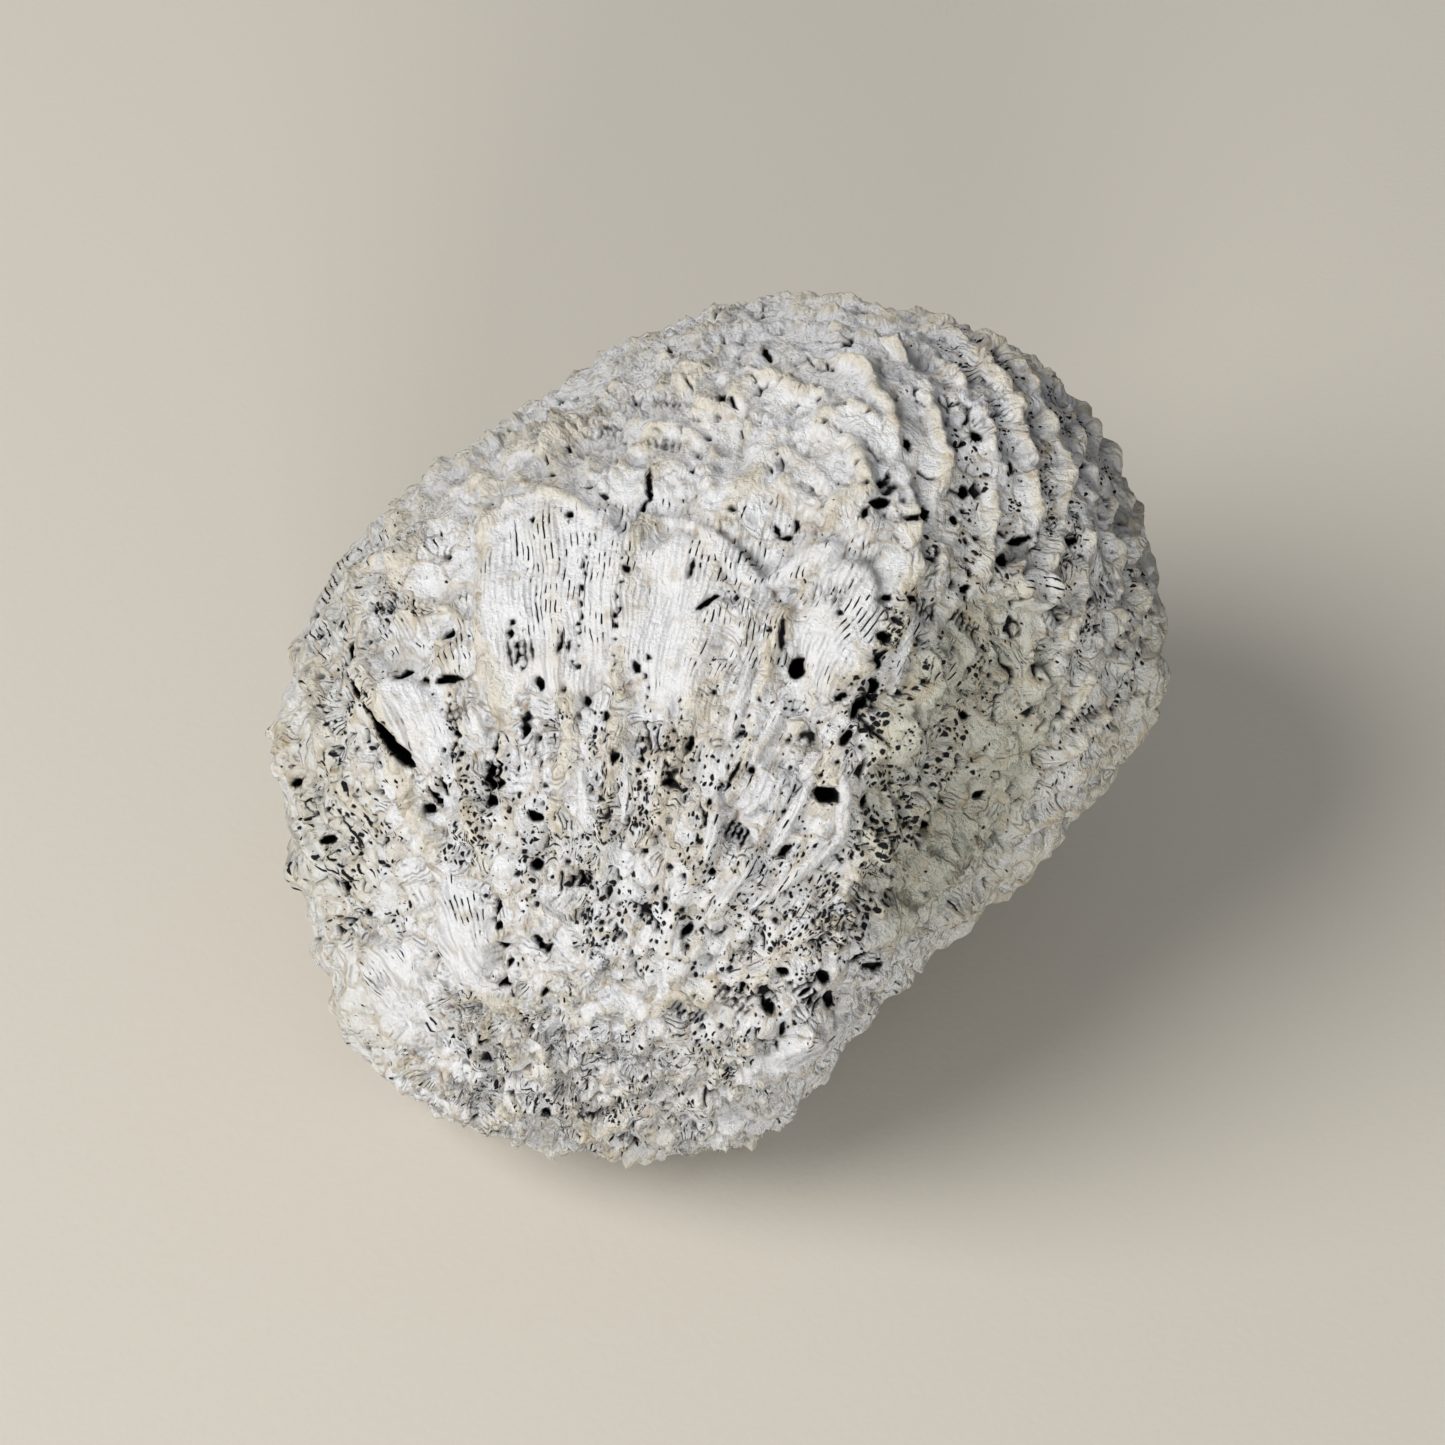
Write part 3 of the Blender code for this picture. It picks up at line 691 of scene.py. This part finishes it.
def holeDepth(points):
    ragged = 0.24 * clouds(points, 1.3, 81.0)
    depth = np.zeros(len(points))
    front = points[:, 2] > 0.0
    holes = list(holeList)
    for across, up, length, step, count, lean, deep in combList:
        turn = math.radians(lean)
        for number in range(count):
            shift = (number - (count - 1) / 2.0) * step
            x = across + shift * math.cos(turn)
            y = up - shift * math.sin(turn)
            holes.append((x, y, 0.3, length * (0.8 + 0.2 * math.cos(3.0 * number + across)), lean, deep))
    for x0, y0, x1, y1, count, radius in rowList:
        for number in range(count):
            share = (number + 0.3 * math.sin(5.0 * number + x0)) / (count - 1)
            size = radius * (1.0 + 0.3 * math.sin(7.0 * number + y0))
            x = x0 + (x1 - x0) * share + 0.25 * math.sin(4.0 * number + y1)
            holes.append((x, y0 + (y1 - y0) * share, size, size * 1.25, 0.0, 1.6))
    for *oval, deep in holes:
        around = np.abs(points[:, 0] - oval[0]) + np.abs(points[:, 1] - oval[1]) < 12.0
        chosen = np.nonzero(around & front)[0]
        rim = ovalDistance(points[chosen], *oval) + ragged[chosen]
        depth[chosen] = np.maximum(depth[chosen], deep * (1.0 - ramp(rim, 0.6, 1.05)))
    return depth


def addAttribute(mesh, name, kind, values):
    layer = mesh.attributes.new(name, kind, "POINT")
    layer.data.foreach_set("vector" if kind == "FLOAT_VECTOR" else "value", values.astype(np.float32).ravel())


def readAttribute(mesh, name, size):
    values = np.empty(len(mesh.vertices) * size, np.float32)
    mesh.attributes[name].data.foreach_get("vector" if size == 3 else "value", values)
    return values.astype(float).reshape(-1, size) if size == 3 else values.astype(float)


def buildStone():
    stone = shapeCage()
    points, normals = readPoints(stone.data)
    movePoints(stone.data, points + normals * swellForm(points)[:, None])
    applyModifier(stone, "REMESH", mode="VOXEL", voxel_size=stoneForm["meshStep"])
    print("stone form:", len(stone.data.vertices), "points")
    points, normals = readPoints(stone.data)
    height, sunk, over, crest = stoneRelief(points, normals)
    depth = holeDepth(points)
    moved = points + normals * height[:, None]
    moved[:, 2] -= depth
    movePoints(stone.data, moved)
    addAttribute(stone.data, "form", "FLOAT_VECTOR", points)
    # painted shade: how deep each place lies in a pit or hole, which the material paints near black
    addAttribute(stone.data, "hollowShade", "FLOAT", np.clip(np.maximum(sunk, depth / 1.6), 0.0, 1.0))
    addAttribute(stone.data, "over", "FLOAT", over)
    addAttribute(stone.data, "crest", "FLOAT", crest)
    print("relief cut")

    stone.data.transform(layDown)
    bpy.ops.object.mode_set(mode="EDIT")
    bpy.ops.mesh.select_all(action="SELECT")
    bpy.ops.mesh.bisect(plane_co=(0.0, 0.0, 0.0), plane_no=(0.0, 0.0, 1.0), use_fill=True, clear_inner=True)
    bpy.ops.object.mode_set(mode="OBJECT")
    far = stone.vertex_groups.new(name="farSide")  # thinned out more than the worn face
    toFront = readAttribute(stone.data, "form", 3)[:, 2]
    for low, weight in ((-60.0, 1.0), (-14.0, 0.7), (0.0, 0.4), (12.0, 0.2)):
        far.add(np.nonzero(toFront > low)[0].tolist(), weight, "REPLACE")
    share = stoneForm["keptTriangles"] / sum(len(face.vertices) - 2 for face in stone.data.polygons)
    thinning = stoneForm["farThinning"]
    applyModifier(stone, "DECIMATE", ratio=share, vertex_group="farSide", vertex_group_factor=thinning)
    stone.vertex_groups.clear()
    points = readPoints(stone.data)[0]
    points[:, 2] = np.maximum(points[:, 2], 0.0)
    movePoints(stone.data, points)
    bpy.ops.object.shade_smooth()
    print("stone:", len(stone.data.vertices), "points,", len(stone.data.polygons), "faces")
    return stone


# What the surface shows follows the growth of the stone, so it is worked out on the finished mesh

def markStone(stone):
    mesh = stone.data
    form = readAttribute(mesh, "form", 3)
    crest = readAttribute(mesh, "crest", 1)
    dome = domeShare(form)
    behind = backShare(form)
    fan, ring = grainOf(form)
    place, away, turn = corallites(form)
    grain = np.where((dome > 0.5)[:, None], ring, fan)
    inCup = place > 0.5
    cup = np.stack([turn, np.full(len(form), -0.99), away * growth["cupSize"]], axis=1)
    grain = np.where(inCup[:, None], cup, grain)
    smooth = np.minimum(plateHeight(form), 1.0)
    # lines fade where their direction changes
    seam = np.maximum(1.0 - ramp(np.abs(dome - 0.5), 0.0, 0.3), inCup * ramp(np.abs(turn), 0.45, 0.48))
    seam = np.maximum(seam, 1.0 - ramp(np.abs(place - 0.5), 0.05, 0.25))
    flank = flankShare(form)
    lined = 0.3 + 0.7 * ramp(clouds(form, 8.0, 91.0), -0.15, 0.3)
    lined *= (1.0 - dome * (0.65 + 0.35 * behind)) * (1.0 - flank)
    lined *= np.where(inCup, 1.0, 0.25 + 0.75 * ramp(np.hypot(*fromFoot(form)), 40.0, 62.0))
    low = ramp(-form[:, 1], 10.0, 25.0)
    onPlates = np.maximum(lined, (0.6 + 0.4 * low) * smooth)
    lined = np.where(inCup, lined * (1.0 - ramp(away, 0.5, 0.65)), onPlates) * (1.0 - seam)
    ridged = dome * (1.0 - flank)
    spongy = spongeShare(form) * (1.0 - 0.8 * smooth)
    spongy = spongy * (1.0 - ridged) + ridged * (0.62 - 0.54 * ramp(crest, 0.08, 0.4))
    # the top is worn whiter and closer than the rest
    worn = ramp(form[:, 1], 22.0, 34.0) * ramp(form[:, 2], -8.0, 4.0) * (1.0 - ramp(form[:, 0], 20.0, 36.0))
    spongy *= 1.0 - 0.7 * worn
    lined *= 1.0 - 0.7 * worn
    smooth = np.maximum(smooth, 0.55 * worn)
    # a film of algae, old and dry, on what the sun had not bleached; on the flank, where it is strongest, it
    # is also painted shade
    filmAndShade = 0.7 * ramp(form[:, 0], 14.0, 32.0) * (1.0 - ramp(form[:, 1], 16.0, 42.0))
    filmAndShade = np.maximum(filmAndShade, 0.7 * ramp(-form[:, 0], 40.0, 56.0))
    filmAndShade = np.maximum(filmAndShade, 0.1 * ramp(-form[:, 1], 38.0, 54.0))
    filmAndShade = np.maximum(filmAndShade, 0.8 * (1.0 - ramp(form[:, 2], -24.0, -4.0)))
    # painted shade: the shaded flank is darkened with the film
    filmAndShade = np.maximum(filmAndShade, 1.5 * flank)
    addAttribute(mesh, "grain", "FLOAT_VECTOR", grain)
    addAttribute(mesh, "marks", "FLOAT_VECTOR", np.stack([lined, spongy, smooth], axis=1))
    addAttribute(mesh, "filmAndShade", "FLOAT", filmAndShade * (0.75 + 0.4 * clouds(form, 14.0, 99.0)))
    mesh.attributes.remove(mesh.attributes["form"])
    mesh.attributes.remove(mesh.attributes["crest"])


# Materials

def linear(hexColour):
    parts = [int(hexColour[place : place + 2], 16) / 255.0 for place in (1, 3, 5)]
    return [p / 12.92 if p <= 0.04045 else ((p + 0.055) / 1.055) ** 2.4 for p in parts] + [1.0]


def addNode(tree, kind, inputs, out=0, **settings):
    node = tree.nodes.new(kind)
    for name, value in settings.items():
        setattr(node, name, value)
    for place, value in inputs.items():
        if isinstance(value, bpy.types.NodeSocket):
            tree.links.new(value, node.inputs[place])
        else:
            node.inputs[place].default_value = value
    return node.outputs[out]


coral = {
    "chalk": "#F3F4F7",  # bleached aragonite, a little blue in the light
    "cream": "#E7E0D0",  # worn plates and crests
    "tan": "#B7A27E",  # stained rims
    "grooveShade": "#77767A",  # painted shade in the grooves between the fine plates
    "lowShadeOlive": "#A3A18C",  # painted shade, olive-grey, in what lies low
    "filmAndShade": "#CCCBBD",  # film on the flank, the cheek and the back, and painted shade on the flank
    # painted shade inside the pits, slits and holes
    "paintedPitShade": "#0E0E14",
    "pitStep": 0.58,  # millimetres between the fine pits, across the growth
    "pieceScale": 0.19,  # broken pieces to the millimetre
    "pieceBend": 5.0,  # millimetres that their edges wander
    "lowShadeShare": 0.6,
    "filmAndShadeShare": 0.75,
    "stainShare": 0.55,
    "wallShare": 0.7,  # of the stain, between broken pieces
    "grooveShadeShare": 0.4,
    "bump": (1.6, 0.12, 0.9, -0.3, -0.5),  # mm: crumbs, grains, between pieces, grooves, pits
}


# Fossil reef limestone, bleached and weathered: a dry chalky surface, fine plates of the skeleton worn level,
# pores painted near black as the shade inside them, painted shade in the grooves, in what lies low and on the
# flank, and a thin warm stain on what stands proud

def coralLimestone():
    material = bpy.data.materials.new("bleachedCoralLimestone")
    material.use_nodes = True
    tree = material.node_tree
    shader = tree.nodes["Principled BSDF"]
    coords = addNode(tree, "ShaderNodeTexCoord", {}, out="Object")
    inMm = addNode(tree, "ShaderNodeMapping", {"Vector": coords, "Scale": (1000.0, 1000.0, 1000.0)})

    def reckon(operation, *values):
        return addNode(tree, "ShaderNodeMath", dict(enumerate(values)), operation=operation)

    def reckonVector(operation, *values, out=0):
        return addNode(tree, "ShaderNodeVectorMath", dict(enumerate(values)), out=out, operation=operation)

    def spread(value, low, high, least=0.0, most=1.0):  # low to high becomes least to most
        ends = {"Value": value, "From Min": low, "From Max": high, "To Min": least, "To Max": most}
        return addNode(tree, "ShaderNodeMapRange", ends)

    def noiseOf(scale, detail, out="Fac"):
        return addNode(tree, "ShaderNodeTexNoise", {"Vector": inMm, "Scale": scale, "Detail": detail}, out=out)

    def flatNoise(place, detail):
        inputs = {"Vector": place, "Scale": 1.0, "Detail": detail}
        return addNode(tree, "ShaderNodeTexNoise", inputs, out="Fac", noise_dimensions="2D")

    def cellsOf(inputs, out, **settings):
        return addNode(tree, "ShaderNodeTexVoronoi", inputs, out=out, **settings)

    def stretched(place, scale):
        return addNode(tree, "ShaderNodeMapping", {"Vector": place, "Scale": scale})

    def tinted(colour, share, name):
        inputs = {"Factor": share, "A": colour, "B": linear(coral[name])}
        return addNode(tree, "ShaderNodeMix", inputs, out=2, data_type="RGBA")

    grain, marks = (
        addNode(tree, "ShaderNodeAttribute", {}, out="Vector", attribute_name=name)
        for name in ("grain", "marks")
    )
    hollowShade, over, filmAndShade = (
        addNode(tree, "ShaderNodeAttribute", {}, out="Fac", attribute_name=name)
        for name in ("hollowShade", "over", "filmAndShade")
    )
    turn, doubled, along = (addNode(tree, "ShaderNodeSeparateXYZ", {0: grain}, out=part) for part in range(3))
    lined, spongy, smooth = (addNode(tree, "ShaderNodeSeparateXYZ", {0: marks}, out=part) for part in range(3))

    # the direction of growth counted in fine plates: twice as many at each doubling of the distance, where
    # that happens being uneven
    octave = reckon("ADD", doubled, spread(noiseOf(0.3, 2.0), 0.0, 1.0, -0.6, 0.6))
    times = reckon("POWER", 2.0, reckon("FLOOR", octave))
    count = round(math.tau * growth["fanLines"] / growth["septa"])
    plates = reckon("MULTIPLY", reckon("MULTIPLY", turn, count), times)
    wideWave = reckon("COSINE", reckon("MULTIPLY", plates, math.tau))
    narrowWave = reckon("COSINE", reckon("MULTIPLY", plates, 2.0 * math.tau))
    share = spread(reckon("FRACT", octave), 0.25, 0.75)
    wave = addNode(tree, "ShaderNodeMix", {"Factor": share, "A": wideWave, "B": narrowWave}, data_type="FLOAT")
    growthPlace = addNode(tree, "ShaderNodeCombineXYZ", {"X": plates, "Y": along})
    streaks = flatNoise(stretched(growthPlace, (1.1, 0.2, 1.0)), 3.0)
    drawn = reckon("ADD", wave, spread(streaks, 0.38, 0.62, -0.9, 1.3))
    linedGroove = reckon("MULTIPLY", spread(drawn, 0.4, -1.3), lined)

    # pits between the plates, painted dark as the shade inside them: narrow cells along the growth, open where
    # the stone is spongy
    loose = reckonVector("MULTIPLY", noiseOf(0.9, 1.0, out="Color"), (0.8, 0.8, 0.0))
    pitPlace = stretched(growthPlace, (growth["septa"] / coral["pitStep"], 0.95, 0.0))
    cells = {"Vector": reckonVector("ADD", pitPlace, loose), "Scale": 1.0, "Randomness": 0.75}
    pitAway = cellsOf(cells, "Distance", voronoi_dimensions="2D")
    chance = addNode(tree, "ShaderNodeSeparateColor", {0: cellsOf(cells, "Color", voronoi_dimensions="2D")})
    openShare = reckon("MULTIPLY", spongy, spread(noiseOf(0.3, 3.0), 0.4, 0.57, 0.2, 1.5))
    pitReach = spread(reckon("SUBTRACT", openShare, chance), -0.02, 0.6, 0.0, 0.4)
    pitCellShade = spread(reckon("SUBTRACT", pitReach, pitAway), -0.02, 0.1)

    # finer dots between them that follow no direction, painted dark as shade
    dotAway = cellsOf({"Vector": inMm, "Scale": 1.3, "Randomness": 1.0}, "Distance")
    dotNoise = noiseOf(0.5, 3.0)
    dotReach = reckon("MULTIPLY", spread(dotNoise, 0.42, 0.58), spongy)
    dotRim = reckon("SUBTRACT", reckon("MULTIPLY_ADD", dotReach, 0.45, -0.02), dotAway)
    pitShadeMask = reckon("MAXIMUM", pitCellShade, spread(dotRim, 0.0, 0.1))
    grains = spread(dotAway, 0.08, 0.5)

    # pieces broken off and set askew, each combed by its own fine plates, with slits between some of them,
    # painted dark as shade
    bend = reckonVector("MULTIPLY", noiseOf(0.22, 1.0, out="Color"), (coral["pieceBend"],) * 3)
    bent = reckonVector("ADD", inMm, bend)
    piecePlace = {"Vector": bent, "Scale": coral["pieceScale"]}
    pieceColour = cellsOf(piecePlace, "Color")
    pieceEdge = cellsOf(piecePlace, "Distance", feature="DISTANCE_TO_EDGE")
    heading = reckonVector("NORMALIZE", reckonVector("SUBTRACT", pieceColour, (0.5, 0.5, 0.5)))
    across = reckonVector("DOT_PRODUCT", bent, heading, out="Value")
    combed = reckon("COSINE", reckon("MULTIPLY", across, math.tau / growth["septa"]))
    unworn = reckon("SUBTRACT", 1.0, smooth)
    askew = spread(addNode(tree, "ShaderNodeSeparateColor", {0: pieceColour}), 0.35, 0.5)
    askew = reckon("MULTIPLY", askew, unworn)
    patches = noiseOf(0.55, 2.0)
    combShare = reckon("MULTIPLY", spread(patches, 0.42, 0.56), askew)
    combGroove = reckon("MULTIPLY", spread(combed, 0.1, -0.9), combShare)
    pieceWall = reckon("MULTIPLY", reckon("MULTIPLY", spread(pieceEdge, 0.09, 0.03), unworn), dotNoise)
    slitShare = reckon("MULTIPLY", spread(patches, 0.53, 0.6), askew)
    slitShare = reckon("MULTIPLY", slitShare, spread(spongy, 0.15, 0.6))
    slitShade = reckon("MULTIPLY", spread(combed, -0.7, -0.9), slitShare)
    pitShadeMask = reckon("MAXIMUM", pitShadeMask, slitShade)

    # short slits along the growth, painted dark as shade
    slitNoise = flatNoise(stretched(growthPlace, (0.9, 0.5, 1.0)), 1.0)
    slitShare = reckon("MULTIPLY", spread(slitNoise, 0.5, 0.58), spread(noiseOf(0.16, 2.0), 0.46, 0.56))
    slitShare = reckon("MULTIPLY", slitShare, spread(lined, 0.3, 0.7))
    slitShade = reckon("MULTIPLY", spread(wave, -0.55, -0.85), slitShare)
    pitShadeMask = reckon("MAXIMUM", pitShadeMask, spread(slitShade, 0.12, 0.5))
    # painted shade: deep pits and holes painted near black
    allPitShade = reckon("MAXIMUM", pitShadeMask, spread(hollowShade, 0.3, 0.85))

    # colour: chalk, cream on what stands proud, olive-grey painted shade in what lies low, a film that is also
    # painted shade on the flank, tan lines and stains, painted shade in the grooves and pits
    proud = reckon("ADD", spread(over, 0.1, 1.6), noiseOf(0.12, 5.0))
    colour = tinted(linear(coral["chalk"]), spread(proud, 0.45, 1.2, 0.0, 0.85), "cream")
    # painted shade: what lies low is tinted olive-grey
    lowShadeShare = reckon("MULTIPLY", spread(over, -0.5, -1.9), noiseOf(0.25, 4.0))
    colour = tinted(colour, reckon("MULTIPLY", lowShadeShare, coral["lowShadeShare"]), "lowShadeOlive")
    colour = tinted(colour, reckon("MULTIPLY", filmAndShade, coral["filmAndShadeShare"]), "filmAndShade")
    stain = spread(noiseOf(0.4, 6.0), 0.56, 0.74, 0.0, coral["stainShare"])
    colour = tinted(colour, reckon("MULTIPLY_ADD", pieceWall, coral["wallShare"], stain), "tan")
    grooveDepthAndShade = reckon("MAXIMUM", linedGroove, combGroove)
    # painted shade in the grooves between the fine plates
    colour = tinted(colour, reckon("MULTIPLY", grooveDepthAndShade, coral["grooveShadeShare"]), "grooveShade")
    # painted shade: pits, slits and holes turned near black
    colour = tinted(colour, allPitShade, "paintedPitShade")
    tree.links.new(colour, shader.inputs["Base Color"])

    # dry chalk scatters light evenly, the worn plates a little less
    tree.links.new(spread(smooth, 0.0, 1.0, 0.96, 0.84), shader.inputs["Roughness"])
    shader.inputs["Specular IOR Level"].default_value = 0.3

    crumbNoise = {"Vector": inMm, "Scale": 1.2, "Detail": 6.0, "Roughness": 0.7}
    crumbs = addNode(tree, "ShaderNodeTexNoise", crumbNoise, out="Fac")
    heights = 0.0
    for layer, rise in zip((crumbs, grains, pieceWall, grooveDepthAndShade, pitShadeMask), coral["bump"]):
        heights = reckon("MULTIPLY_ADD", layer, rise, heights)
    bump = addNode(tree, "ShaderNodeBump", {"Strength": 1.0, "Distance": 0.001, "Height": heights})
    tree.links.new(bump, shader.inputs["Normal"])
    return material


def paleFloor():
    material = bpy.data.materials.new("matteStudioBoard")
    material.use_nodes = True
    tree = material.node_tree
    shader = tree.nodes["Principled BSDF"]
    coords = addNode(tree, "ShaderNodeTexCoord", {}, out="Object")
    fibres = addNode(tree, "ShaderNodeTexNoise", {"Vector": coords, "Scale": 900.0, "Detail": 3.0}, out="Fac")
    rough = addNode(tree, "ShaderNodeMapRange", {"Value": fibres, "To Min": 0.75, "To Max": 0.9})
    bump = addNode(tree, "ShaderNodeBump", {"Strength": 0.15, "Distance": 0.0002, "Height": fibres})
    shader.inputs["Base Color"].default_value = linear(studio["floorColour"])
    shader.inputs["Specular IOR Level"].default_value = 0.2
    tree.links.new(rough, shader.inputs["Roughness"])
    tree.links.new(bump, shader.inputs["Normal"])
    return material


# Camera, floor and lights

studio = {
    "eye": (0.21, 0.5, 482.0),  # square on to the worn face, in its own frame
    "lens": 85.0,
    "floorSize": 20.0,
    "floorColour": "#B9B4AA",
    "keyPlace": (-1120.0, 480.0, 1120.0),
    "keySize": 1.2,
    "keyPower": 33.5,
    "keyColour": "#FFFDFA",
    "fillPlace": (-80.0, -960.0, 1280.0),
    "fillSize": 0.6,
    "fillPower": 21.0,
    "fillColour": "#F6F5F2",
    "skyColour": "#E6E8EC",
    "skyPower": 0.38,
}


def lookAt(thing, place):
    thing.location = layDown @ Vector(place)
    aim = layDown @ Vector((0.0, 0.0, 0.0))
    thing.rotation_euler = (aim - thing.location).to_track_quat("-Z", "Y").to_euler()


def addCamera():
    bpy.ops.object.camera_add()
    camera = bpy.context.active_object
    camera.name = "photoCamera"
    camera.data.lens = studio["lens"]
    camera.data.sensor_width = 36.0
    camera.data.clip_start = 0.01
    camera.location = layDown @ Vector(studio["eye"])
    camera.rotation_euler = (lying["faceLean"], 0.0, 0.0)
    bpy.context.scene.camera = camera


def addLight(name, place, size, power, colour):
    bpy.ops.object.light_add(type="AREA")
    light = bpy.context.active_object
    light.name = name
    light.data.shape = "DISK"
    light.data.size = size
    light.data.energy = power
    light.data.color = linear(colour)[:3]
    lookAt(light, place)


def addStudio():
    bpy.ops.mesh.primitive_plane_add(size=studio["floorSize"])
    floor = bpy.context.active_object
    floor.name = "studioFloor"
    floor.data.materials.append(paleFloor())
    for name in ("key", "fill"):
        place, size, power, colour = (studio[name + part] for part in ("Place", "Size", "Power", "Colour"))
        addLight(name + "Light", place, size, power, colour)
    world = bpy.data.worlds.new("softSky")
    world.use_nodes = True
    sky = world.node_tree.nodes["Background"]
    sky.inputs["Color"].default_value = linear(studio["skyColour"])
    sky.inputs["Strength"].default_value = studio["skyPower"]
    bpy.context.scene.world = world
    bpy.context.scene.view_settings.view_transform = "Standard"


addCamera()
addStudio()
print("studio set")

stone = buildStone()
markStone(stone)
stone.data.materials.clear()
stone.data.materials.append(coralLimestone())
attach(stone, "root")
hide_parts("brain_coral")
print("stone finished")
